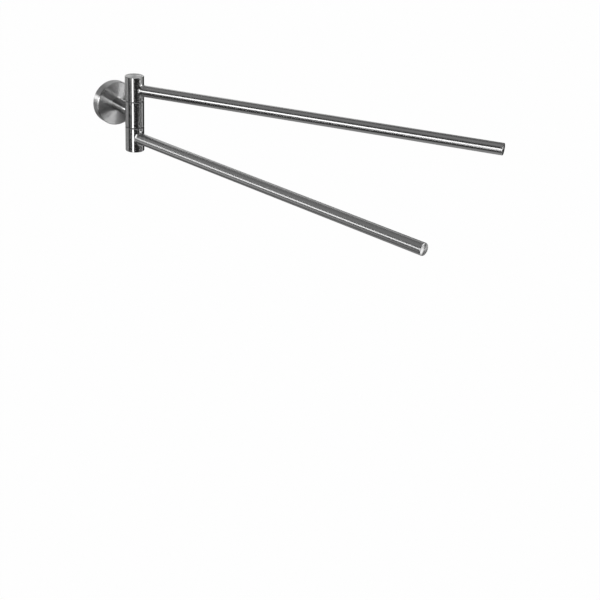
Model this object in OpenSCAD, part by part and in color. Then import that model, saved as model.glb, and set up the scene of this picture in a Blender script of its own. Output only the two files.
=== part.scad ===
// Wall-mounted towel holder with two round arms that swivel on one upright post.
// The wall is the plane y = 0 and the holder reaches from it towards -Y, with +Z up.
// The origin is the centre of the rosette's back, level with the middle of the hub.

/* [Rosette and wall plate] */
// Outside diameter of the rosette
rosette_d = 49; // [46:0.5:60]
// Depth of the rosette, from the wall to its front face
rosette_depth = 11; // [10.5:0.5:16]
// Thickness of the rosette's side wall, which holds the set screw's thread
rosette_side = 3.6; // [3:0.1:4]
// Thickness of the rosette's front
rosette_front = 3.4; // [2.5:0.1:3.6]
// Bevel round the rosette's front edge
rosette_bevel = 0.8; // [0.2:0.1:1.5]
// Thickness of the wall plate inside the rosette
plate_t = 5; // [4.8:0.1:6]
// Diameter of the hole in the middle of the wall plate
plate_bore_d = 16; // [14:0.5:17]
// Distance between the two wall screw holes
screw_spacing = 28.5; // [27.5:0.5:30]
// Diameter of a wall screw hole
screw_hole_d = 4.6; // [3.5:0.1:5]
// Diameter of the countersink on a wall screw hole
countersink_d = 8.6; // [6:0.1:9]

/* [Neck] */
// Diameter of the neck
neck_d = 14; // [13:0.5:17]
// Distance from the rosette's front face to the axis of the post
neck_reach = 41; // [32:1:80]
// Diameter of the spigot that joins the neck to the hub
spigot_d = 8; // [6:0.5:10]
// Depth of the spigot in the hub
spigot_depth = 4.8; // [3:0.1:5]

/* [Post] */
// Diameter of the hub and of both collars
post_d = 21; // [20:0.5:26]
// Height of the hub
hub_h = 28.6; // [20:0.2:50]
// Height of a collar
collar_h = 27; // [24:0.2:40]
// Solid metal between a stud's hole and the chamber for the lock nut
stud_cover = 1.4; // [1:0.1:3]
// Free height between a lock nut and its cap
nut_room = 0.9; // [0.5:0.1:3]
// Bevel on the edges of the hub and the collars
post_bevel = 0.4; // [0.1:0.1:0.8]
// Diameter of the pivot shaft
shaft_d = 8; // [7:0.5:8.5]
// Wall thickness of a bush
bush_wall = 1.45; // [1:0.05:1.5]
// Thickness of a bush's flange, which shows as a dark joint
flange_t = 0.8; // [0.5:0.1:2]
// How far a bush's flange stays inside the post's surface
flange_inset = 0.5; // [0.2:0.1:1]
// Diameter of the chamber for the lock nut
chamber_d = 15; // [14:0.5:15.5]
// Diameter of a post cap
cap_d = 17; // [16.5:0.5:18]
// Thickness of a post cap
cap_t = 2.5; // [1.5:0.1:3]

/* [Arms] */
// Length of an arm, from the axis of the post to its tip
arm_length = 410; // [250:5:600]
// Diameter of an arm
arm_d = 12.5; // [11:0.5:14]
// Wall thickness of an arm's tube
arm_wall = 1.2; // [0.8:0.1:1.5]
// Length of the insert in an arm's inner end
insert_length = 20; // [16:1:40]
// Thickness of an end plug's visible rim
plug_rim = 2; // [1:0.5:6]
// Depth of an end plug in the tube
plug_depth = 8; // [4:1:20]
// Bevel on an end plug's edge
plug_bevel = 0.5; // [0.2:0.1:1]
// Swing of the upper arm from straight out, towards +X
upper_swing = 34; // [-90:1:90]
// Swing of the lower arm from straight out, towards +X
lower_swing = 11; // [-90:1:90]

/* [Fasteners] */
// Thread diameter of the neck screw, the studs and the shaft's ends
thread_d = 6; // [5:1:6]
// Width across the flats of a lock nut
nut_flats = 10; // [9:0.5:11]
// Height of a lock nut's hexagon
nut_h = 4.2; // [3:0.1:6]
// Height of the round collar on a lock nut
nut_collar_h = 1.2; // [0.8:0.1:2]
// Thickness of a thrust washer
washer_t = 1; // [0.5:0.1:2]
// Height of a disc spring
spring_h = 1.2; // [1:0.1:2]
// Thickness of a disc spring's sheet
spring_t = 0.6; // [0.4:0.1:0.8]
// Length of a stud
stud_length = 18; // [12:1:18]
// Length of the neck screw's thread in the neck
screw_bite = 12; // [8:1:20]
// Diameter of the neck screw's head
screw_head_d = 10.5; // [9:0.5:11]
// Height of the neck screw's head
screw_head_h = 3.2; // [2.5:0.1:3.4]
// Diameter of the dowel that keeps the neck from turning
dowel_d = 2; // [1.5:0.5:2]
// Length of that dowel
dowel_length = 8; // [5:1:12]
// Thread diameter of the rosette's set screw
set_screw_d = 4; // [3:0.5:4]
// Depth of the groove in the wall plate's rim for the set screw
groove_depth = 1.2; // [0.6:0.1:1.6]

/* [Clearances] */
// Radial gap between a bush and the shaft that it turns on
running_gap = 0.05; // [0.02:0.01:0.1]
// Radial gap of a fixed fit or a thread
fixed_gap = 0.02; // [0:0.01:0.1]
// Radial gap round the wall plate and round the neck screw's shank
loose_gap = 0.2; // [0.1:0.05:0.4]

/* [Hidden] */
$fn = 96;
over = 1; // how far a cutting tool runs past the face that it cuts
post_r = post_d / 2;
shaft_r = shaft_d / 2;
thread_r = thread_d / 2;
thread_hole_r = thread_r + fixed_gap;
arm_r = arm_d / 2;
arm_bore_r = arm_r - arm_wall;
rosette_r = rosette_d / 2;
cavity_r = rosette_r - rosette_side;
cavity_depth = rosette_depth - rosette_front;
plate_r = cavity_r - loose_gap;
post_y = rosette_depth + neck_reach; // distance from the wall to the post's axis

// Heights above the hub's middle, of the parts on the upper side
chamber_h = washer_t + spring_h + nut_h + nut_collar_h + nut_room;
journal_h = collar_h - cap_t - chamber_h; // length of a collar's thick part, which the bush fills
hub_top = hub_h / 2;
collar_base = hub_top + flange_t;
collar_top = collar_base + collar_h;
washer_base = collar_base + journal_h;
arm_z = washer_base - stud_cover - thread_r; // of the axis that an arm and its stud share
spring_base = washer_base + washer_t;
nut_base = spring_base + spring_h;
nut_top = nut_base + nut_h + nut_collar_h;
cap_base = collar_top - cap_t;

bush_bore_r = shaft_r + running_gap;
bush_r = bush_bore_r + bush_wall;
bush_seat_r = bush_r + fixed_gap;
bush_end_gap = 0.2;
flange_r = post_r - flange_inset;
chamber_r = chamber_d / 2;
washer_r = chamber_r - 0.3;
ring_gap = 0.15; // radial gap between the shaft and a washer or spring on it
cap_r = cap_d / 2;
cap_gap = 0.1;
cap_bevel = 0.3;
cap_skirt_wall = 0.8;
cap_skirt_h = 1.4;
cap_skirt_r = chamber_r - cap_gap;
shaft_end_gap = 0.3;
nut_chamfer = 0.5;
nut_collar_r = nut_flats / 2 - nut_chamfer;

stud_tip_r = bush_seat_r + 0.5; // from the post's axis to the inner end of a stud
insert_start = post_r + 0.8;
insert_r = arm_bore_r - fixed_gap;
tube_end = arm_length - plug_rim;
joint_line = 0.15; // bevel of the fine line between an end plug and its tube

spigot_r = spigot_d / 2;
spigot_end = post_y - post_r + spigot_depth;
spigot_end_gap = 0.2;
neck_bore_depth = screw_bite + 2;
neck_washer_t = 1.2;
neck_washer_r = screw_head_d / 2 + 0.8;
head_socket_flats = 4;
head_socket_depth = 2.2;
head_flat_r = 3.2;
head_side_h = 1.4;
dowel_r = dowel_d / 2;
dowel_x = (thread_r + neck_d / 2) / 2; // middle of the neck's wall
dowel_start = cavity_depth + 0.2;
set_screw_r = set_screw_d / 2;
set_screw_z = plate_t / 2 + 0.1; // distance of the set screw's axis from the wall
set_screw_recess = 0.4;
set_screw_flats = 2;
set_screw_socket = 1.6;
tip_gap = 0.2;
tip_r = plate_r - groove_depth + tip_gap;

steel = "#b3b2b0";
dark_steel = "#8a8c8f";
zinc = "#a9adb0";
nylon = "#2f3032";
light_alloy = "#c6c8ca";

// Stands a child on the wall, with its z axis out of the wall and its y axis up.
module on_wall() {
    rotate([90, 0, 0]) children();
}

// Puts a child that is drawn for the upper side on the post, upright or upside down.
module on_post(side = 1) {
    translate([0, -post_y, 0]) mirror([0, 0, side < 0 ? 1 : 0]) children();
}

// Lays a child along an arm: its z axis runs out from the post's axis.
module along_arm(side, swing) {
    on_post(side) translate([0, 0, arm_z]) rotate([0, 0, swing - 90]) rotate([0, 90, 0]) children();
}

// A tube or ring with its bore, standing on z = 0.
module ring(outer_r, inner_r, h) {
    difference() {
        cylinder(r = outer_r, h = h);
        translate([0, 0, -over]) cylinder(r = inner_r, h = h + 2 * over);
    }
}

// A hexagonal hole or bar by its width across the flats.
module hexagon(flats, h) {
    cylinder(d = flats / cos(30), h = h, $fn = 6);
}

// The solid outline of the post, which cuts the ends of what meets it from the side.
module post_outline() {
    translate([0, -post_y, -collar_top]) cylinder(r = post_r, h = 2 * collar_top);
}

module wall_plate() {
    color(zinc) on_wall() difference() {
        rotate_extrude() polygon([
            [plate_bore_d / 2, 0],
            [plate_r, 0],
            [plate_r, set_screw_z - groove_depth],
            [plate_r - groove_depth, set_screw_z],
            [plate_r, set_screw_z + groove_depth],
            [plate_r, plate_t],
            [plate_bore_d / 2, plate_t]
        ]);
        for (x = [-screw_spacing / 2, screw_spacing / 2]) translate([x, 0, 0]) {
            translate([0, 0, -over]) cylinder(d = screw_hole_d, h = plate_t + 2 * over);
            translate([0, 0, plate_t - (countersink_d - screw_hole_d) / 2])
                cylinder(d1 = screw_hole_d, d2 = countersink_d, h = (countersink_d - screw_hole_d) / 2);
        }
    }
}

module rosette() {
    color(steel) on_wall() difference() {
        rotate_extrude() polygon([
            [thread_r + loose_gap, cavity_depth],
            [cavity_r, cavity_depth],
            [cavity_r, 0],
            [rosette_r, 0],
            [rosette_r, rosette_depth - rosette_bevel],
            [rosette_r - rosette_bevel, rosette_depth],
            [thread_r + loose_gap, rosette_depth]
        ]);
        dowel_hole();
        set_screw_place() translate([0, 0, tip_r]) cylinder(r = set_screw_r + fixed_gap, h = rosette_r);
    }
}

module dowel_hole() {
    translate([0, dowel_x, dowel_start - over])
        cylinder(r = dowel_r + fixed_gap, h = dowel_length + over + fixed_gap);
}

// Turns a child so that its z axis points straight down from the rosette's middle.
module set_screw_place() {
    translate([0, 0, set_screw_z]) rotate([90, 0, 0]) children();
}

module rosette_set_screw() {
    head = rosette_r - set_screw_recess;
    shank_start = tip_r + set_screw_r;
    color(dark_steel) on_wall() set_screw_place() difference() {
        union() {
            translate([0, 0, tip_r]) cylinder(r1 = 0, r2 = set_screw_r, h = set_screw_r);
            translate([0, 0, shank_start]) cylinder(r = set_screw_r, h = head - shank_start);
        }
        translate([0, 0, head - set_screw_socket]) hexagon(set_screw_flats, set_screw_socket + over);
    }
}

module neck() {
    color(steel) difference() {
        on_wall() difference() {
            translate([0, 0, rosette_depth]) cylinder(d = neck_d, h = neck_reach);
            translate([0, 0, rosette_depth - over])
                cylinder(r = thread_hole_r, h = neck_bore_depth + over);
            dowel_hole();
        }
        post_outline();
    }
    color(steel) on_wall() translate([0, 0, spigot_end - 2 * spigot_depth])
        cylinder(r = spigot_r, h = 2 * spigot_depth);
}

module neck_screw() {
    head_top = cavity_depth - neck_washer_t;
    head_base = head_top - screw_head_h;
    shank_length = neck_washer_t + rosette_front + screw_bite;
    color(dark_steel) on_wall() difference() {
        union() {
            translate([0, 0, head_top]) cylinder(r = thread_r, h = shank_length);
            translate([0, 0, head_top - head_side_h]) cylinder(d = screw_head_d, h = head_side_h);
            translate([0, 0, head_base])
                cylinder(r1 = head_flat_r, d2 = screw_head_d, h = screw_head_h - head_side_h);
        }
        translate([0, 0, head_base - over]) hexagon(head_socket_flats, head_socket_depth + over);
    }
}

module neck_washer() {
    color(dark_steel) on_wall() translate([0, 0, cavity_depth - neck_washer_t])
        ring(neck_washer_r, thread_r + loose_gap, neck_washer_t);
}

module neck_dowel() {
    color(dark_steel) on_wall() translate([0, dowel_x, dowel_start])
        cylinder(r = dowel_r, h = dowel_length);
}

module hub() {
    color(steel) difference() {
        on_post() translate([0, 0, -hub_top]) bevelled_ring(hub_h, shaft_r + fixed_gap);
        on_wall() translate([0, 0, post_y - post_r - over])
            cylinder(r = spigot_r + fixed_gap, h = spigot_depth + over + spigot_end_gap);
    }
}

// A length of the post with bevelled outer edges and a bore right through.
module bevelled_ring(h, bore_r) {
    rotate_extrude() polygon([
        [bore_r, 0],
        [post_r - post_bevel, 0],
        [post_r, post_bevel],
        [post_r, h - post_bevel],
        [post_r - post_bevel, h],
        [bore_r, h]
    ]);
}

module pivot_shaft() {
    shaft_end = cap_base - shaft_end_gap;
    color(dark_steel) on_post() {
        translate([0, 0, -nut_base]) cylinder(r = shaft_r, h = 2 * nut_base);
        translate([0, 0, -shaft_end]) cylinder(r = thread_r, h = 2 * shaft_end);
    }
}

module thrust_washer(side) {
    color(dark_steel) on_post(side) translate([0, 0, washer_base])
        ring(washer_r, shaft_r + ring_gap, washer_t);
}

// A dished ring: its outer edge rests on the washer and its inner edge on the nut.
module disc_spring(side) {
    inner_r = shaft_r + ring_gap;
    rise = spring_h - spring_t;
    color(zinc) on_post(side) translate([0, 0, spring_base]) rotate_extrude() polygon([
        [inner_r, rise],
        [washer_r, 0],
        [washer_r, spring_t],
        [inner_r, spring_h]
    ]);
}

module lock_nut(side) {
    color(zinc) on_post(side) translate([0, 0, nut_base]) difference() {
        union() {
            hexagon(nut_flats, nut_h);
            cylinder(r = nut_collar_r, h = nut_h + nut_collar_h);
        }
        translate([0, 0, -over]) cylinder(r = thread_hole_r, h = nut_top - nut_base + 2 * over);
    }
}

module collar(side, swing) {
    color(steel) difference() {
        on_post(side) difference() {
            translate([0, 0, collar_base]) bevelled_ring(collar_h, bush_seat_r);
            translate([0, 0, washer_base]) cylinder(r = chamber_r, h = collar_h);
            translate([0, 0, cap_base]) cylinder(r = cap_r, h = cap_t + over);
        }
        along_arm(side, swing) translate([0, 0, stud_tip_r]) cylinder(r = thread_hole_r, h = post_r);
    }
}

module bush(side) {
    color(nylon) on_post(side) {
        translate([0, 0, hub_top]) ring(flange_r, bush_bore_r, flange_t);
        translate([0, 0, hub_top]) ring(bush_r, bush_bore_r, flange_t + journal_h - bush_end_gap);
    }
}

// A round cap, flush with the end of its collar, with a short skirt that snaps into the chamber.
module post_cap(side) {
    r = cap_r - cap_gap;
    color(steel) on_post(side) {
        translate([0, 0, cap_base]) rotate_extrude() polygon([
            [0, 0],
            [r, 0],
            [r, cap_t - cap_bevel],
            [r - cap_bevel, cap_t],
            [0, cap_t]
        ]);
        translate([0, 0, cap_base - cap_skirt_h])
            ring(cap_skirt_r, cap_skirt_r - cap_skirt_wall, cap_skirt_h + cap_t / 2);
    }
}

module arm_tube(side, swing) {
    color(steel) difference() {
        along_arm(side, swing) rotate_extrude() polygon([
            [arm_bore_r, 0],
            [arm_r, 0],
            [arm_r, tube_end - joint_line],
            [arm_r - joint_line, tube_end],
            [arm_bore_r, tube_end]
        ]);
        post_outline();
    }
}

module arm_insert(side, swing) {
    color(light_alloy) along_arm(side, swing) translate([0, 0, insert_start])
        ring(insert_r, thread_hole_r, insert_length);
}

module arm_stud(side, swing) {
    color(dark_steel) along_arm(side, swing) translate([0, 0, stud_tip_r + fixed_gap])
        cylinder(r = thread_r, h = stud_length);
}

module end_plug(side, swing) {
    color(steel) along_arm(side, swing) translate([0, 0, tube_end]) {
        rotate_extrude() polygon([
            [0, 0],
            [arm_r - joint_line, 0],
            [arm_r, joint_line],
            [arm_r, plug_rim - plug_bevel],
            [arm_r - plug_bevel, plug_rim],
            [0, plug_rim]
        ]);
        translate([0, 0, -plug_depth]) cylinder(r = insert_r, h = plug_depth + plug_rim / 2);
    }
}

wall_plate();
rosette();
rosette_set_screw();
neck();
neck_screw();
neck_washer();
neck_dowel();
hub();
pivot_shaft();
thrust_washer(1);  // upper_thrust_washer
thrust_washer(-1);  // lower_thrust_washer
disc_spring(1);  // upper_disc_spring
disc_spring(-1);  // lower_disc_spring
lock_nut(1);  // upper_lock_nut
lock_nut(-1);  // lower_lock_nut
collar(1, upper_swing);  // upper_collar
bush(1);  // upper_bush
post_cap(1);  // upper_cap
arm_tube(1, upper_swing);  // upper_arm_tube
arm_insert(1, upper_swing);  // upper_arm_insert
arm_stud(1, upper_swing);  // upper_arm_stud
end_plug(1, upper_swing);  // upper_end_plug
collar(-1, lower_swing);  // lower_collar
bush(-1);  // lower_bush
post_cap(-1);  // lower_cap
arm_tube(-1, lower_swing);  // lower_arm_tube
arm_insert(-1, lower_swing);  // lower_arm_insert
arm_stud(-1, lower_swing);  // lower_arm_stud
end_plug(-1, lower_swing);  // lower_end_plug
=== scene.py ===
import math

import bmesh
import bpy
from mathutils import Matrix, Vector


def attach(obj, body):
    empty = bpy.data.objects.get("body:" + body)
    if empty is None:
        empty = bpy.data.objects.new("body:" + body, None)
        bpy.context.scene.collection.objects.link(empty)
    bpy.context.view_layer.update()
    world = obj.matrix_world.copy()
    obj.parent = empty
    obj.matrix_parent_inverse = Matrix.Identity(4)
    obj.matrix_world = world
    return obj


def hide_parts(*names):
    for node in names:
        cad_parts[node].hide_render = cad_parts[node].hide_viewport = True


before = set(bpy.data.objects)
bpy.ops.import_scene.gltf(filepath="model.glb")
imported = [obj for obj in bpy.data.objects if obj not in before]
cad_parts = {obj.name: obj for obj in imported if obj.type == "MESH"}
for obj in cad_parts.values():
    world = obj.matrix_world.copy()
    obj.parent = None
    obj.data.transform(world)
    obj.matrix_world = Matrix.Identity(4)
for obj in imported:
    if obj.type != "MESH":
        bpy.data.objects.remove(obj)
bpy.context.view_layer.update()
mm = 0.001  # the sizes of the pieces below are in millimetres
up = Vector((0, 0, 1))
outward = Vector((0, -1, 0))  # out of the wall
wallOrigin = Vector((0, 0, 0))
print("frame loaded:", len(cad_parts), "nodes")


# Mesh tools: turned outlines, drilled holes, broken edges

drillSegments = 96
softEdge = {"segments": 3, "angle": 32}  # corners sharper than this angle are rounded


def lathe(name, outline, segments):
    # outline: closed list of (radius, height); radius 0 closes the face flat
    work = bmesh.new()
    turns = [2 * math.pi * k / segments for k in range(segments)]
    rings = []
    for radius, height in outline:
        if radius > 0:
            r, h = radius * mm, height * mm
            rings.append([work.verts.new((r * math.cos(t), r * math.sin(t), h)) for t in turns])
        else:
            rings.append(None)
    for here, there in zip(rings, rings[1:] + rings[:1]):
        if here and there:
            for k in range(segments):
                n = (k + 1) % segments
                work.faces.new((here[k], here[n], there[n], there[k]))
        elif here or there:
            work.faces.new(here or there)
    bmesh.ops.recalc_face_normals(work, faces=work.faces)
    mesh = bpy.data.meshes.new(name)
    work.to_mesh(mesh)
    work.free()
    mesh.shade_smooth()
    return mesh


def stand(name, mesh, origin, axis):
    piece = bpy.data.objects.new(name, mesh)
    bpy.context.scene.collection.objects.link(piece)
    piece.matrix_world = Matrix.Translation(origin) @ axis.to_track_quat("Z", "Y").to_matrix().to_4x4()
    return piece


def drill(name, radius, start, end):
    # the round cutter of a hole
    way = end - start
    length = way.length / mm
    rod = [(0, 0), (radius, 0), (radius, length), (0, length)]
    return stand(name, lathe(name, rod, drillSegments), start, way.normalized())


def finishMesh(piece, edge, cutters=()):
    # cuts the holes and rounds the edges, with smooth shading that keeps the flats flat
    for cutter in cutters:
        cut = piece.modifiers.new("cut", "BOOLEAN")
        cut.operation, cut.solver, cut.object = "DIFFERENCE", "EXACT", cutter
    soften = piece.modifiers.new("edges", "BEVEL")
    soften.width, soften.segments = edge * mm, softEdge["segments"]
    soften.limit_method, soften.angle_limit = "ANGLE", math.radians(softEdge["angle"])
    soften.harden_normals = True
    even = piece.modifiers.new("shading", "WEIGHTED_NORMAL")
    even.keep_sharp = True
    bpy.context.view_layer.update()
    graph = bpy.context.evaluated_depsgraph_get()
    shaped = piece.evaluated_get(graph)
    solid = bpy.data.meshes.new_from_object(shaped, preserve_all_data_layers=True, depsgraph=graph)
    piece.modifiers.clear()
    piece.data = solid
    for cutter in cutters:
        bpy.data.objects.remove(cutter)


def dress(piece, material, body, node):
    piece.data.materials.clear()
    piece.data.materials.append(material)
    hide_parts(node)
    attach(piece, body)


# Shader groups

def startGroup(name, inputs, outputs):
    group = bpy.data.node_groups.new(name, "ShaderNodeTree")
    for label, kind, value in inputs:
        socket = group.interface.new_socket(name=label, in_out="INPUT", socket_type=kind)
        if value is not None:
            socket.default_value = value
    for label, kind in outputs:
        group.interface.new_socket(name=label, in_out="OUTPUT", socket_type=kind)
    return group, group.nodes.new("NodeGroupInput"), group.nodes.new("NodeGroupOutput")


def mathNode(tree, operation, a, b=None, clamp=False):
    node = tree.nodes.new("ShaderNodeMath")
    node.operation, node.use_clamp = operation, clamp
    for index, value in enumerate((a, b)):
        if value is None:
            continue
        if isinstance(value, (int, float)):
            node.inputs[index].default_value = value
        else:
            tree.links.new(value, node.inputs[index])
    return node.outputs[0]


def makeTurnedGrain():
    # fine lines that run round the local z axis, on walls and on faces alike
    facePitch = 0.83  # how densely they lie on a face, against 1 on a wall
    smallest = 0.00002  # radius in metres, so that nothing is divided by zero on the axis
    layers = {"lines": (1.0, 3.0), "bands": (0.16, 2.0), "hairs": (3.4, 1.0)}  # density and detail
    hairShare = 0.5
    group, given, made = startGroup(
        "turnedGrain",
        [("Vector", "NodeSocketVector", None), ("Lines per metre", "NodeSocketFloat", 4500.0),
         ("Breaks round", "NodeSocketFloat", 5.0)],
        [("Lines", "NodeSocketFloat"), ("Bands", "NodeSocketFloat"), ("Height", "NodeSocketFloat")])
    parts = group.nodes.new("ShaderNodeSeparateXYZ")
    group.links.new(given.outputs["Vector"], parts.inputs[0])
    x, y, z = parts.outputs
    squares = mathNode(group, "ADD", mathNode(group, "MULTIPLY", x, x), mathNode(group, "MULTIPLY", y, y))
    radius = mathNode(group, "MAXIMUM", mathNode(group, "SQRT", squares), smallest)
    across = mathNode(group, "SUBTRACT", z, mathNode(group, "MULTIPLY", radius, facePitch))
    grain = {}
    for layer, (share, detail) in layers.items():
        join = group.nodes.new("ShaderNodeCombineXYZ")
        for index, side in enumerate((x, y)):
            turn = mathNode(group, "DIVIDE", side, radius)
            broken = mathNode(group, "MULTIPLY", turn, given.outputs["Breaks round"])
            group.links.new(broken, join.inputs[index])
        density = mathNode(group, "MULTIPLY", given.outputs["Lines per metre"], share)
        group.links.new(mathNode(group, "MULTIPLY", across, density), join.inputs[2])
        noise = group.nodes.new("ShaderNodeTexNoise")
        noise.inputs["Scale"].default_value = 1.0
        noise.inputs["Detail"].default_value = detail
        noise.inputs["Roughness"].default_value = 0.62
        group.links.new(join.outputs[0], noise.inputs["Vector"])
        grain[layer] = noise.outputs["Fac"]
    height = mathNode(group, "ADD", grain["lines"], mathNode(group, "MULTIPLY", grain["hairs"], hairShare))
    group.links.new(grain["lines"], made.inputs["Lines"])
    group.links.new(grain["bands"], made.inputs["Bands"])
    group.links.new(height, made.inputs["Height"])
    return group


def makeHandling():
    # faint cloudy marks from wiping and touch
    group, given, made = startGroup(
        "handlingMarks",
        [("Vector", "NodeSocketVector", None), ("Size", "NodeSocketFloat", 38.0)],
        [("Marks", "NodeSocketFloat")])
    cloud = group.nodes.new("ShaderNodeTexNoise")
    cloud.inputs["Detail"].default_value = 4.0
    cloud.inputs["Roughness"].default_value = 0.55
    cloud.inputs["Distortion"].default_value = 0.6
    group.links.new(given.outputs["Vector"], cloud.inputs["Vector"])
    group.links.new(given.outputs["Size"], cloud.inputs["Scale"])
    spread = group.nodes.new("ShaderNodeMapRange")
    spread.inputs["From Min"].default_value = 0.36
    spread.inputs["From Max"].default_value = 0.66
    group.links.new(cloud.outputs["Fac"], spread.inputs["Value"])
    group.links.new(spread.outputs["Result"], made.inputs["Marks"])
    return group


def makeSurfaceSpeck():
    # small even grain for plated, moulded and blasted surfaces
    patchShare = 0.06  # scale of the patches against that of the specks
    group, given, made = startGroup(
        "surfaceSpeck",
        [("Vector", "NodeSocketVector", None), ("Size", "NodeSocketFloat", 2600.0)],
        [("Specks", "NodeSocketFloat"), ("Patches", "NodeSocketFloat")])
    cells = group.nodes.new("ShaderNodeTexVoronoi")
    cells.feature = "SMOOTH_F1"
    group.links.new(given.outputs["Vector"], cells.inputs["Vector"])
    group.links.new(given.outputs["Size"], cells.inputs["Scale"])
    patches = group.nodes.new("ShaderNodeTexNoise")
    patches.inputs["Detail"].default_value = 3.0
    group.links.new(given.outputs["Vector"], patches.inputs["Vector"])
    patchScale = mathNode(group, "MULTIPLY", given.outputs["Size"], patchShare)
    group.links.new(patchScale, patches.inputs["Scale"])
    group.links.new(cells.outputs["Distance"], made.inputs["Specks"])
    group.links.new(patches.outputs["Fac"], made.inputs["Patches"])
    return group


groups = {"grain": makeTurnedGrain(), "handling": makeHandling(), "speck": makeSurfaceSpeck()}
print("shader groups made:", len(groups))


# Materials

def startMaterial(name):
    material = bpy.data.materials.new(name)
    material.use_nodes = True
    tree = material.node_tree
    shader = tree.nodes["Principled BSDF"]
    place = tree.nodes.new("ShaderNodeTexCoord").outputs["Object"]
    return material, tree, shader, place


def useGroup(tree, group, place, values):
    node = tree.nodes.new("ShaderNodeGroup")
    node.node_tree = group
    tree.links.new(place, node.inputs["Vector"])
    for label, value in values.items():
        node.inputs[label].default_value = value
    return node


noiseRange = (0.25, 0.75)  # the part of a noise's range that colours and values are spread over


def blendColour(tree, factor, first, second):
    ramp = tree.nodes.new("ShaderNodeValToRGB")
    for stop, colour, place in zip(ramp.color_ramp.elements, (first, second), noiseRange):
        stop.color = (*colour, 1)
        stop.position = place
    tree.links.new(factor, ramp.inputs["Fac"])
    return ramp.outputs["Color"]


def spreadValue(tree, factor, low, high):
    spread = tree.nodes.new("ShaderNodeMapRange")
    spread.inputs["From Min"].default_value = noiseRange[0]
    spread.inputs["From Max"].default_value = noiseRange[1]
    spread.inputs["To Min"].default_value = low
    spread.inputs["To Max"].default_value = high
    tree.links.new(factor, spread.inputs["Value"])
    return spread.outputs["Result"]


def bumpFrom(tree, height, strength, distance):
    bump = tree.nodes.new("ShaderNodeBump")
    bump.inputs["Strength"].default_value = strength
    bump.inputs["Distance"].default_value = distance
    tree.links.new(height, bump.inputs["Height"])
    return bump.outputs["Normal"]


def roughFrom(tree, factor, marks, look):
    # even roughness of the finish, a little duller where it was touched
    touched = mathNode(tree, "MULTIPLY", marks.outputs["Marks"], look["markRough"])
    return mathNode(tree, "ADD", spreadValue(tree, factor, *look["rough"]), touched)


def steel(name, look):
    # stainless steel with turned or ground lines round its own axis
    bandShare, lineShare = 0.6, 0.4  # of the tone
    lineDepth = 0.00002  # metres
    quarterTurn = 0.25  # highlights stretch across the lines
    material, tree, shader, place = startMaterial(name)
    grain = useGroup(tree, groups["grain"], place,
                     {"Lines per metre": look["lines"], "Breaks round": look["breaks"]})
    marks = useGroup(tree, groups["handling"], place, {"Size": look["markSize"]})
    tone = mathNode(tree, "ADD", mathNode(tree, "MULTIPLY", grain.outputs["Bands"], bandShare),
                    mathNode(tree, "MULTIPLY", grain.outputs["Lines"], lineShare))
    tree.links.new(blendColour(tree, tone, look["dark"], look["light"]), shader.inputs["Base Color"])
    tree.links.new(roughFrom(tree, grain.outputs["Lines"], marks, look), shader.inputs["Roughness"])
    bump = bumpFrom(tree, grain.outputs["Height"], look["depth"], lineDepth)
    tree.links.new(bump, shader.inputs["Normal"])
    tangent = tree.nodes.new("ShaderNodeTangent")
    tangent.direction_type, tangent.axis = "RADIAL", "Z"
    tree.links.new(tangent.outputs[0], shader.inputs["Tangent"])
    shader.inputs["Metallic"].default_value = 1.0
    shader.inputs["Anisotropic"].default_value = look["stretch"]
    shader.inputs["Anisotropic Rotation"].default_value = quarterTurn
    return material


def plain(name, look):
    # small inner pieces: plated, moulded or bright metal without a direction
    speckDepth = 0.00004  # metres
    material, tree, shader, place = startMaterial(name)
    speck = useGroup(tree, groups["speck"], place, {"Size": look["size"]})
    marks = useGroup(tree, groups["handling"], place, {"Size": look["markSize"]})
    patches = speck.outputs["Patches"]
    tree.links.new(blendColour(tree, patches, look["dark"], look["light"]), shader.inputs["Base Color"])
    tree.links.new(roughFrom(tree, patches, marks, look), shader.inputs["Roughness"])
    bump = bumpFrom(tree, speck.outputs["Specks"], look["depth"], speckDepth)
    tree.links.new(bump, shader.inputs["Normal"])
    shader.inputs["Metallic"].default_value = look["metal"]
    return material


# Looks: colour between dark and light, roughness from and to, lines per metre or size of specks
postLook = {"dark": (0.476, 0.476, 0.476), "light": (0.516, 0.516, 0.516), "rough": (0.158, 0.168),
            "markRough": 0.006, "markSize": 40.0, "lines": 5200.0, "breaks": 1.5, "depth": 0.010,
            "stretch": 0.95}
armLook = {"dark": (0.468, 0.468, 0.468), "light": (0.504, 0.504, 0.504), "rough": (0.203, 0.213),
           "markRough": 0.006, "markSize": 30.0, "lines": 4200.0, "breaks": 1.5, "depth": 0.006,
           "stretch": 0.95}
neckLook = {"dark": (0.468, 0.468, 0.468), "light": (0.504, 0.504, 0.504), "rough": (0.140, 0.150),
            "markRough": 0.006, "markSize": 30.0, "lines": 4200.0, "breaks": 1.5, "depth": 0.008,
            "stretch": 0.95}
faceLook = {"dark": (0.503, 0.503, 0.503), "light": (0.541, 0.541, 0.541), "rough": (0.277, 0.287),
            "markRough": 0.006, "markSize": 34.0, "lines": 3600.0, "breaks": 1.0, "depth": 0.008,
            "stretch": 0.99}
plugLook = {"dark": (0.468, 0.468, 0.468), "light": (0.504, 0.504, 0.504), "rough": (0.205, 0.220),
            "markRough": 0.006, "markSize": 34.0, "lines": 3600.0, "breaks": 1.0, "depth": 0.006,
            "stretch": 0.85}
shaftLook = {"dark": (0.42, 0.42, 0.43), "light": (0.52, 0.52, 0.53), "rough": (0.16, 0.22),
             "markRough": 0.03, "markSize": 50.0, "lines": 6000.0, "breaks": 6.0, "depth": 0.08,
             "stretch": 0.6}
fastenerLook = {"dark": (0.36, 0.36, 0.37), "light": (0.47, 0.47, 0.48), "rough": (0.28, 0.40),
                "markRough": 0.05, "markSize": 90.0, "size": 3200.0, "depth": 0.15, "metal": 1.0}
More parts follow.
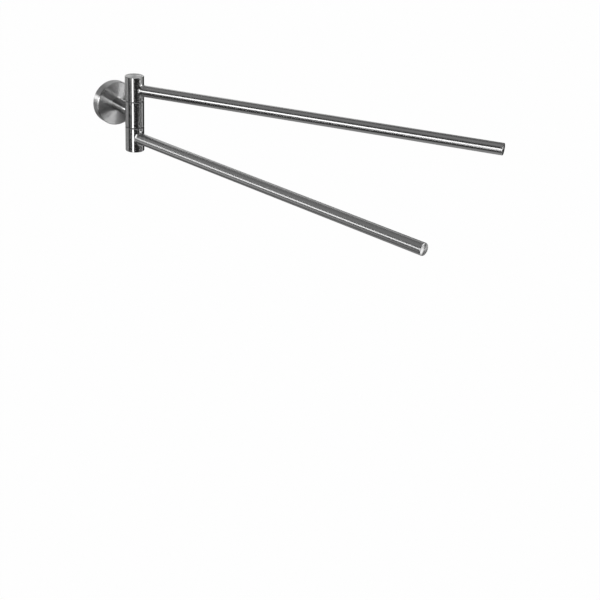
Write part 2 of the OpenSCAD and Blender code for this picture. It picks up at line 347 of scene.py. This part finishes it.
springLook = {"dark": (0.22, 0.21, 0.22), "light": (0.36, 0.36, 0.38), "rough": (0.30, 0.42),
              "markRough": 0.06, "markSize": 120.0, "size": 2600.0, "depth": 0.15, "metal": 1.0}
zincLook = {"dark": (0.48, 0.50, 0.53), "light": (0.62, 0.64, 0.65), "rough": (0.30, 0.42),
            "markRough": 0.06, "markSize": 60.0, "size": 1500.0, "depth": 0.2, "metal": 1.0}
alloyLook = {"dark": (0.64, 0.65, 0.66), "light": (0.76, 0.77, 0.78), "rough": (0.30, 0.38),
             "markRough": 0.04, "markSize": 80.0, "size": 3000.0, "depth": 0.12, "metal": 1.0}
nylonLook = {"dark": (0.022, 0.022, 0.024), "light": (0.038, 0.038, 0.041), "rough": (0.42, 0.55),
             "markRough": 0.05, "markSize": 70.0, "size": 3800.0, "depth": 0.35, "metal": 0.0}

finishes = {
    "post": steel("satinPost", postLook),
    "arm": steel("satinArm", armLook),
    "neck": steel("satinNeck", neckLook),
    "face": steel("turnedFace", faceLook),
    "plug": steel("turnedPlug", plugLook),
    "shaft": steel("groundShaft", shaftLook),
    "fastener": plain("fastenerSteel", fastenerLook),
    "spring": plain("springSteel", springLook),
    "zinc": plain("zincPlating", zincLook),
    "alloy": plain("lightAlloy", alloyLook),
    "nylon": plain("blackNylon", nylonLook),
}
print("materials made:", len(finishes))


# The outer pieces, each with its sizes above it

rosette = {"radius": 24.5, "depth": 11.0, "front": 3.4, "side": 3.6, "bevel": 0.8, "bore": 3.2,
           "screwHole": 2.02, "screwFromWall": 2.6, "screwPast": 2,
           "dowelHole": 1.02, "dowelUp": 5.0, "dowelPast": 1, "edge": 0.14, "segments": 224}


def makeRosette():
    s = rosette
    outer, depth, bevel = s["radius"], s["depth"], s["bevel"]
    cavity = depth - s["front"]
    inner = outer - s["side"]
    outline = [(s["bore"], cavity), (inner, cavity), (inner, 0), (outer, 0), (outer, depth - bevel),
               (outer - bevel, depth), (s["bore"], depth)]
    piece = stand("rosetteCup", lathe("rosetteCup", outline, s["segments"]), wallOrigin, outward)
    fromWall = -s["screwFromWall"] * mm
    screw = drill("screwCut", s["screwHole"], Vector((0, fromWall, -(inner - s["screwPast"]) * mm)),
                  Vector((0, fromWall, -(outer + s["screwPast"]) * mm)))
    dowelUp = s["dowelUp"] * mm
    dowel = drill("dowelCut", s["dowelHole"], Vector((0, -(cavity - s["dowelPast"]) * mm, dowelUp)),
                  Vector((0, -(depth + s["dowelPast"]) * mm, dowelUp)))
    finishMesh(piece, s["edge"], [screw, dowel])
    dress(piece, finishes["face"], "mount", "rosette")


post = {"reach": 52.0, "radius": 10.5, "bevel": 0.4, "hubHalf": 14.3, "shaftBore": 4.02,
        "socketGap": 0.02, "socketDeeper": 0.2, "socketPast": 1, "edge": 0.10, "segments": 192}
postOrigin = Vector((0, -post["reach"] * mm, 0))  # the middle of the post


def makeHub():
    s = post
    inner, outer, half, bevel = s["shaftBore"], s["radius"], s["hubHalf"], s["bevel"]
    outline = [(inner, -half), (outer - bevel, -half), (outer, bevel - half), (outer, half - bevel),
               (outer - bevel, half), (inner, half)]
    piece = stand("hubBarrel", lathe("hubBarrel", outline, s["segments"]), postOrigin, up)
    floor = s["reach"] - neck["spigotEnd"] - s["socketDeeper"]
    socket = drill("socketCut", neck["spigot"] + s["socketGap"],
                   postOrigin - outward * (outer + s["socketPast"]) * mm,
                   postOrigin - outward * floor * mm)
    finishMesh(piece, s["edge"], [socket])
    dress(piece, finishes["post"], "mount", "hub")


neck = {"radius": 7.0, "bore": 3.02, "boreDepth": 14.0, "spigot": 4.0, "spigotStart": 40.0,
        "spigotEnd": 46.3, "spigotSegments": 96, "postCut": 60, "edge": 0.10, "segments": 160}


def makeNeck():
    # a bar cut to the post's curve, with its spigot in the hub
    s = neck
    radius, bore, end = s["radius"], s["bore"], post["reach"]
    start, floor = rosette["depth"], rosette["depth"] + s["boreDepth"]
    outline = [(bore, start), (radius, start), (radius, end), (0, end), (0, floor), (bore, floor)]
    piece = stand("neckBar", lathe("neckBar", outline, s["segments"]), wallOrigin, outward)
    cutEnd = up * s["postCut"] * mm
    postCut = drill("postCut", post["radius"], postOrigin - cutEnd, postOrigin + cutEnd)
    finishMesh(piece, s["edge"], [postCut])
    rod = [(0, s["spigotStart"]), (s["spigot"], s["spigotStart"]), (s["spigot"], s["spigotEnd"]),
           (0, s["spigotEnd"])]
    spigot = lathe("spigot", rod, s["spigotSegments"])
    both = bmesh.new()
    both.from_mesh(piece.data)
    both.from_mesh(spigot)
    both.to_mesh(piece.data)
    both.free()
    bpy.data.meshes.remove(spigot)
    dress(piece, finishes["neck"], "mount", "neck")


collar = {"base": 15.1, "top": 42.1, "bushSeat": 5.52, "chamber": 7.5, "chamberBase": 31.1,
          "capSeat": 8.5, "capBase": 39.6, "studHole": 3.02, "studTip": 6.02, "studCutEnd": 14}


def makeCollar(side, body, axis, along, armOrigin):
    s = collar
    outer, bevel, base, top = post["radius"], post["bevel"], s["base"], s["top"]
    outline = [(s["bushSeat"], base), (outer - bevel, base), (outer, base + bevel), (outer, top - bevel),
               (outer - bevel, top), (s["capSeat"], top), (s["capSeat"], s["capBase"]),
               (s["chamber"], s["capBase"]), (s["chamber"], s["chamberBase"]),
               (s["bushSeat"], s["chamberBase"])]
    name = side + "CollarBarrel"
    piece = stand(name, lathe(name, outline, post["segments"]), postOrigin, axis)
    studCut = drill("studCut", s["studHole"], armOrigin + along * s["studTip"] * mm,
                    armOrigin + along * s["studCutEnd"] * mm)
    finishMesh(piece, post["edge"], [studCut])
    dress(piece, finishes["post"], body, side + "_collar")


cap = {"radius": 8.4, "bevel": 0.3, "skirt": 7.4, "skirtWall": 0.8, "skirtHeight": 1.4, "edge": 0.06,
       "segments": 160}


def makeCap(side, body, axis):
    s = cap
    top, base, rim, bevel, skirt = collar["top"], collar["capBase"], s["radius"], s["bevel"], s["skirt"]
    skirtBase, skirtInner = base - s["skirtHeight"], skirt - s["skirtWall"]
    outline = [(0, base), (skirtInner, base), (skirtInner, skirtBase), (skirt, skirtBase), (skirt, base),
               (rim, base), (rim, top - bevel), (rim - bevel, top), (0, top)]
    name = side + "CapDisc"
    piece = stand(name, lathe(name, outline, s["segments"]), postOrigin, axis)
    finishMesh(piece, s["edge"])
    dress(piece, finishes["face"], body, side + "_cap")


arm = {"height": 26.7, "radius": 6.25, "bore": 5.05, "end": 408.0, "line": 0.1, "postCut": 12,
       "edge": 0.05, "segments": 144}  # line: half of the fine groove between tube and end plug


def makeTube(side, body, along, armOrigin):
    s = arm
    bore, radius, end, line = s["bore"], s["radius"], s["end"], s["line"]
    outline = [(bore, 0), (radius, 0), (radius, end - line), (radius - line, end), (bore, end)]
    name = side + "ArmBar"
    piece = stand(name, lathe(name, outline, s["segments"]), armOrigin, along)
    cutEnd = up * s["postCut"] * mm
    postCut = drill("postCut", post["radius"], armOrigin - cutEnd, armOrigin + cutEnd)
    finishMesh(piece, s["edge"], [postCut])
    dress(piece, finishes["arm"], body, side + "_arm_tube")


endPlug = {"radius": 5.03, "depth": 8.0, "tip": 410.0, "brim": 0.8, "dome": 0.3, "steps": 8}


def makeEndPlug(side, body, along, armOrigin):
    # a rounded brim and a slight dome, in steps from the rim to the middle
    s = endPlug
    radius, end, line = arm["radius"], arm["end"], arm["line"]
    tip, brim, dome, steps = s["tip"], s["brim"], s["dome"], s["steps"]
    deep, flat, foot = end - s["depth"], radius - brim, tip - dome - brim
    outline = [(0, deep), (s["radius"], deep), (s["radius"], end), (radius - line, end), (radius, end + line)]
    for k in range(steps):
        bend = math.pi / 2 * k / steps
        outline.append((flat + brim * math.cos(bend), foot + brim * math.sin(bend)))
    for k in range(steps + 1):
        left = 1 - k / steps
        outline.append((flat * left, tip - dome * left ** 2))
    name = side + "EndDisc"
    piece = stand(name, lathe(name, outline, arm["segments"]), armOrigin, along)
    finishMesh(piece, arm["edge"])
    dress(piece, finishes["plug"], body, side + "_end_plug")


rootFillet = {"ball": 2.2, "sunk": 0.1, "steps": 10, "segments": 144}


def filletMesh(name):
    # hollow fillet of an arm on its collar: a ball that rolls round the arm's foot, touching both
    bar, barrel, ball, sunk = arm["radius"], post["radius"], rootFillet["ball"], rootFillet["sunk"]
    steps, segments = rootFillet["steps"], rootFillet["segments"]
    work = bmesh.new()
    rings = []
    for k in range(segments):
        turn = 2 * math.pi * k / segments
        c, s = math.cos(turn), math.sin(turn)
        y, z = (bar + ball) * c, (bar + ball) * s
        x = math.sqrt((barrel + ball) ** 2 - y * y)
        toArm = Vector((0, -c, -s))
        toPost = Vector((-x, -y, 0)) / (barrel + ball)
        centre = Vector((x, y, z))
        whole = toArm.angle(toPost)
        section = []
        for n in range(steps + 1):
            part = whole * n / steps
            way = (toArm * math.sin(whole - part) + toPost * math.sin(part)) / math.sin(whole)
            section.append(centre + way * ball)
        inside = bar - sunk  # the hidden side of the fillet lies a little inside both pieces
        corner = math.sqrt((barrel - sunk) ** 2 - (inside * c) ** 2)
        section.append(section[-1] + toPost * sunk)
        section.append(Vector((corner, inside * c, inside * s)))
        section.append(section[0] + toArm * sunk)
        rings.append([work.verts.new(Vector((p.y, p.z, p.x)) * mm) for p in section])
    for here, there in zip(rings, rings[1:] + rings[:1]):
        for n in range(len(here)):
            m = (n + 1) % len(here)
            face = work.faces.new((here[n], here[m], there[m], there[n]))
            face.smooth = n < steps
    bmesh.ops.recalc_face_normals(work, faces=work.faces)
    mesh = bpy.data.meshes.new(name)
    work.to_mesh(mesh)
    work.free()
    return mesh


def makeRootFillet(side, body, along, armOrigin):
    name = side + "RootBlend"
    blend = stand(name, filletMesh(name), armOrigin, along)
    blend.data.materials.append(finishes["post"])
    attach(blend, body)


swings = {"upper": 34.0, "lower": 11.0}  # each arm at rest, in degrees from straight out to the right


def makeSide(side):
    # everything that turns with one arm; the lower side is the upper one upside down
    sign = 1 if side == "upper" else -1
    axis = up * sign
    turn = math.radians(swings[side])
    along = Vector((math.sin(turn), -math.cos(turn), 0))
    armOrigin = postOrigin + axis * arm["height"] * mm
    body = side + "_arm"
    makeCollar(side, body, axis, along, armOrigin)
    makeCap(side, body, axis)
    makeTube(side, body, along, armOrigin)
    makeEndPlug(side, body, along, armOrigin)
    makeRootFillet(side, body, along, armOrigin)


makeRosette()
makeNeck()
makeHub()
for side in swings:
    makeSide(side)
print("outer pieces made")


# The inner pieces keep their solids and get their finish

innerFinish = {"wall_plate": "zinc", "rosette_set_screw": "fastener", "neck_screw": "fastener",
               "neck_washer": "fastener", "neck_dowel": "fastener", "pivot_shaft": "shaft",
               "thrust_washer": "fastener", "disc_spring": "spring", "lock_nut": "zinc", "bush": "nylon",
               "arm_insert": "alloy", "arm_stud": "fastener"}
for name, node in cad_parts.items():
    kind = name.removeprefix("upper_").removeprefix("lower_")
    if kind in innerFinish:
        node.data.materials.clear()
        node.data.materials.append(finishes[innerFinish[kind]])
print("inner pieces finished")


# Studio: pale floor, white world, and a dark tent that only the steel sees, with its light panels

def direction(azimuth, elevation):
    # azimuth 0 points out of the wall, 90 to the right for someone who faces it
    a, e = math.radians(azimuth), math.radians(elevation)
    return Vector((math.sin(a) * math.cos(e), -math.cos(a) * math.cos(e), math.sin(e)))


# azimuth and elevation of the middle, half width and half height, all in degrees, softness, brightness
tentPanels = {
    "leftWindow": (-51, -4, 8, 22, 0.35, 3.5),
    "leftScreen": (-77, 8, 11, 11, 0.3, 3.5),
    "thinStrip": (-32, 4, 8, 4, 0.5, 6.0),
    "rightWindow": (43, 8, 13, 10, 0.4, 5.2),
    "rightLow": (59, 1, 7, 6, 0.4, 2.4),
    "rightScreen": (75, -10, 8, 12, 0.5, 0.9),
    "rightWall": (168, -20, 18, 18, 0.6, 0.4),
    "overhead": (40, 64, 42, 22, 0.6, 0.5),
    "frontFloor": (33, -38, 9, 8, 0.6, 1.2),
    "lowStrip": (-115, 3, 9, 7, 0.5, 2.6),
    "lowLeft": (-130, -33, 12, 10, 0.7, 0.4),
    "neckStrip": (-148, 5, 7, 5, 0.5, 4.8),
    "wallMiddle": (181, 0, 16, 20, 0.5, 0.5),
    "leftWall": (-138, 0, 28, 34, 0.7, 0.33),
    "wallGlow": (158, 22, 22, 20, 0.6, 0.8),
    "ceiling": (-120, 62, 30, 30, 0.7, 0.28),
    "floorGlow": (100, -80, 40, 40, 0.7, 0.4),
}
tent = {"centre": Vector((0.06, -0.14, 0.0)), "radius": 6.0, "tone": 0.03, "subdivisions": 5}  # metres


def makeSoftPanel():
    # light of a soft-edged rectangle, seen from the middle of the tent
    nearest = 0.1  # share of the ray that has to point ahead
    group, given, made = startGroup(
        "softPanel",
        [("Ray", "NodeSocketVector", None), ("Ahead", "NodeSocketVector", None),
         ("Side", "NodeSocketVector", None), ("Above", "NodeSocketVector", None),
         ("Half width", "NodeSocketFloat", 0.2), ("Half height", "NodeSocketFloat", 0.2),
         ("Softness", "NodeSocketFloat", 0.5), ("Brightness", "NodeSocketFloat", 1.0)],
        [("Light", "NodeSocketFloat")])
    parts = []
    for label in ("Ahead", "Side", "Above"):
        part = group.nodes.new("ShaderNodeVectorMath")
        part.operation = "DOT_PRODUCT"
        group.links.new(given.outputs["Ray"], part.inputs[0])
        group.links.new(given.outputs[label], part.inputs[1])
        parts.append(part.outputs["Value"])
    light = mathNode(group, "GREATER_THAN", parts[0], nearest)
    depth = mathNode(group, "MAXIMUM", parts[0], nearest)
    for part, label in ((parts[1], "Half width"), (parts[2], "Half height")):
        place = mathNode(group, "ABSOLUTE", mathNode(group, "DIVIDE", part, depth))
        half = given.outputs[label]
        fade = group.nodes.new("ShaderNodeMapRange")
        fade.interpolation_type = "SMOOTHSTEP"
        group.links.new(place, fade.inputs["Value"])
        soft = mathNode(group, "MULTIPLY", half, given.outputs["Softness"])
        group.links.new(mathNode(group, "SUBTRACT", half, soft), fade.inputs["From Min"])
        group.links.new(mathNode(group, "ADD", half, soft), fade.inputs["From Max"])
        fade.inputs["To Min"].default_value = 1.0
        fade.inputs["To Max"].default_value = 0.0
        light = mathNode(group, "MULTIPLY", light, fade.outputs["Result"])
    group.links.new(mathNode(group, "MULTIPLY", light, given.outputs["Brightness"]), made.inputs["Light"])
    return group


def makeTent():
    mesh = bpy.data.meshes.new("tent")
    work = bmesh.new()
    bmesh.ops.create_icosphere(work, subdivisions=tent["subdivisions"], radius=tent["radius"])
    bmesh.ops.reverse_faces(work, faces=work.faces)
    work.to_mesh(mesh)
    work.free()
    ball = bpy.data.objects.new("tent", mesh)
    bpy.context.scene.collection.objects.link(ball)
    ball.location = tent["centre"]
    material = bpy.data.materials.new("tentCloth")
    material.use_nodes = True
    tree = material.node_tree
    tree.nodes.clear()
    place = tree.nodes.new("ShaderNodeTexCoord")
    ray = tree.nodes.new("ShaderNodeVectorMath")
    ray.operation = "NORMALIZE"
    tree.links.new(place.outputs["Object"], ray.inputs[0])
    panelGroup = makeSoftPanel()
    level = tent["tone"]
    for name, (azimuth, elevation, halfWidth, halfHeight, soft, bright) in tentPanels.items():
        panel = tree.nodes.new("ShaderNodeGroup")
        panel.node_tree, panel.label = panelGroup, name
        tree.links.new(ray.outputs[0], panel.inputs["Ray"])
        ahead, side = direction(azimuth, elevation), direction(azimuth + 90, 0)
        panel.inputs["Ahead"].default_value = ahead
        panel.inputs["Side"].default_value = side
        panel.inputs["Above"].default_value = side.cross(ahead)
        panel.inputs["Half width"].default_value = math.tan(math.radians(halfWidth))
        panel.inputs["Half height"].default_value = math.tan(math.radians(halfHeight))
        panel.inputs["Softness"].default_value = soft
        panel.inputs["Brightness"].default_value = bright
        level = mathNode(tree, "ADD", panel.outputs["Light"], level)
    glow = tree.nodes.new("ShaderNodeEmission")
    tree.links.new(level, glow.inputs["Color"])
    out = tree.nodes.new("ShaderNodeOutputMaterial")
    tree.links.new(glow.outputs[0], out.inputs["Surface"])
    material.cycles.emission_sampling = "NONE"
    mesh.materials.append(material)
    ball.visible_camera = ball.visible_diffuse = ball.visible_transmission = ball.visible_shadow = False


def seenDirectly(tree):
    # 1 for what the camera, a mirror or glass sees, 0 for light on a matt surface
    seen = tree.nodes.new("ShaderNodeLightPath")
    rays = mathNode(tree, "ADD", seen.outputs["Is Camera Ray"], seen.outputs["Is Glossy Ray"], True)
    return mathNode(tree, "ADD", rays, seen.outputs["Is Transmission Ray"], True)


ground = {"height": -0.56, "size": 24.0, "tone": 0.92, "own": 0.95}  # metres; own: share of its own light


def makeFloor():
    half = ground["size"] / 2
    corners = [(-half, -half, 0), (half, -half, 0), (half, half, 0), (-half, half, 0)]
    mesh = bpy.data.meshes.new("floor")
    mesh.from_pydata(corners, [], [(0, 1, 2, 3)])
    floor = bpy.data.objects.new("floor", mesh)
    bpy.context.scene.collection.objects.link(floor)
    floor.location = (0, 0, ground["height"])
    material = bpy.data.materials.new("paleFloor")
    material.use_nodes = True
    tree = material.node_tree
    tree.nodes.clear()
    matt = tree.nodes.new("ShaderNodeBsdfDiffuse")
    tone = ground["tone"]
    matt.inputs["Color"].default_value = (tone, tone, tone, 1)
    glow = tree.nodes.new("ShaderNodeEmission")
    rays = seenDirectly(tree)
    own = tree.nodes.new("ShaderNodeMixShader")
    tree.links.new(mathNode(tree, "MULTIPLY", rays, ground["own"]), own.inputs[0])
    tree.links.new(matt.outputs[0], own.inputs[1])
    tree.links.new(glow.outputs[0], own.inputs[2])
    clear = tree.nodes.new("ShaderNodeBsdfTransparent")
    under = tree.nodes.new("ShaderNodeNewGeometry")
    oneSided = tree.nodes.new("ShaderNodeMixShader")  # seen from above only
    tree.links.new(under.outputs["Backfacing"], oneSided.inputs[0])
    tree.links.new(own.outputs[0], oneSided.inputs[1])
    tree.links.new(clear.outputs[0], oneSided.inputs[2])
    out = tree.nodes.new("ShaderNodeOutputMaterial")
    tree.links.new(oneSided.outputs[0], out.inputs["Surface"])
    material.cycles.emission_sampling = "NONE"
    mesh.materials.append(material)
    floor.visible_glossy = False  # the steel sees the tent below it instead


worldSoft = 0.9  # the world's light on matt surfaces, against 1 where it is seen


def makeWorld():
    world = bpy.data.worlds.new("whiteRoom")
    bpy.context.scene.world = world
    world.use_nodes = True
    tree = world.node_tree
    back = tree.nodes["Background"]
    back.inputs["Color"].default_value = (1, 1, 1, 1)
    extra = mathNode(tree, "MULTIPLY", seenDirectly(tree), 1 - worldSoft)
    tree.links.new(mathNode(tree, "ADD", extra, worldSoft), back.inputs["Strength"])


# aimed at a point in mm, from an azimuth and elevation in degrees, a distance away in metres
softBoxes = {
    "endCard": {"target": (78, -454, -27), "azimuth": 55, "elevation": -23, "far": 0.5,
                "width": 0.11, "height": 0.12, "bright": 0.19, "spread": 44},
}


def makeLights():
    for name, card in softBoxes.items():
        width, height = card["width"], card["height"]
        lamp = bpy.data.lights.new(name, "AREA")
        lamp.shape, lamp.size, lamp.size_y = "RECTANGLE", width, height
        lamp.energy = card["bright"] * math.pi * width * height
        lamp.spread = math.radians(card["spread"])
        box = bpy.data.objects.new(name, lamp)
        bpy.context.scene.collection.objects.link(box)
        aim = direction(card["azimuth"], card["elevation"])
        box.location = Vector(card["target"]) * mm + aim * card["far"]
        box.rotation_euler = aim.to_track_quat("Z", "Y").to_euler()
        box.visible_camera = False


makeTent()
makeFloor()
makeWorld()
makeLights()
bpy.context.scene.view_settings.view_transform = "Standard"
print("studio made")


# Camera

view = {"place": (-0.58482, -1.16056, 0.37690), "yaw": 0.64118, "pitch": -0.44672, "roll": 0.05914,
        "lens": 69.536, "sensor": 36.0, "near": 0.01, "far": 100.0}  # metres, radians and mm of lens


def makeCamera():
    yaw, pitch, roll = view["yaw"], view["pitch"], view["roll"]
    ahead = Vector((math.sin(yaw) * math.cos(pitch), math.cos(yaw) * math.cos(pitch), math.sin(pitch)))
    right = Vector((math.cos(yaw), -math.sin(yaw), 0))
    above = right.cross(ahead)
    side = math.cos(roll) * right + math.sin(roll) * above
    top = -math.sin(roll) * right + math.cos(roll) * above
    data = bpy.data.cameras.new("camera")
    data.lens, data.sensor_width = view["lens"], view["sensor"]
    data.clip_start, data.clip_end = view["near"], view["far"]
    camera = bpy.data.objects.new("camera", data)
    bpy.context.scene.collection.objects.link(camera)
    turned = Matrix((side, top, -ahead)).transposed().to_4x4()
    camera.matrix_world = Matrix.Translation(view["place"]) @ turned
    bpy.context.scene.camera = camera


makeCamera()
print("camera set")

bpy.context.view_layer.update()
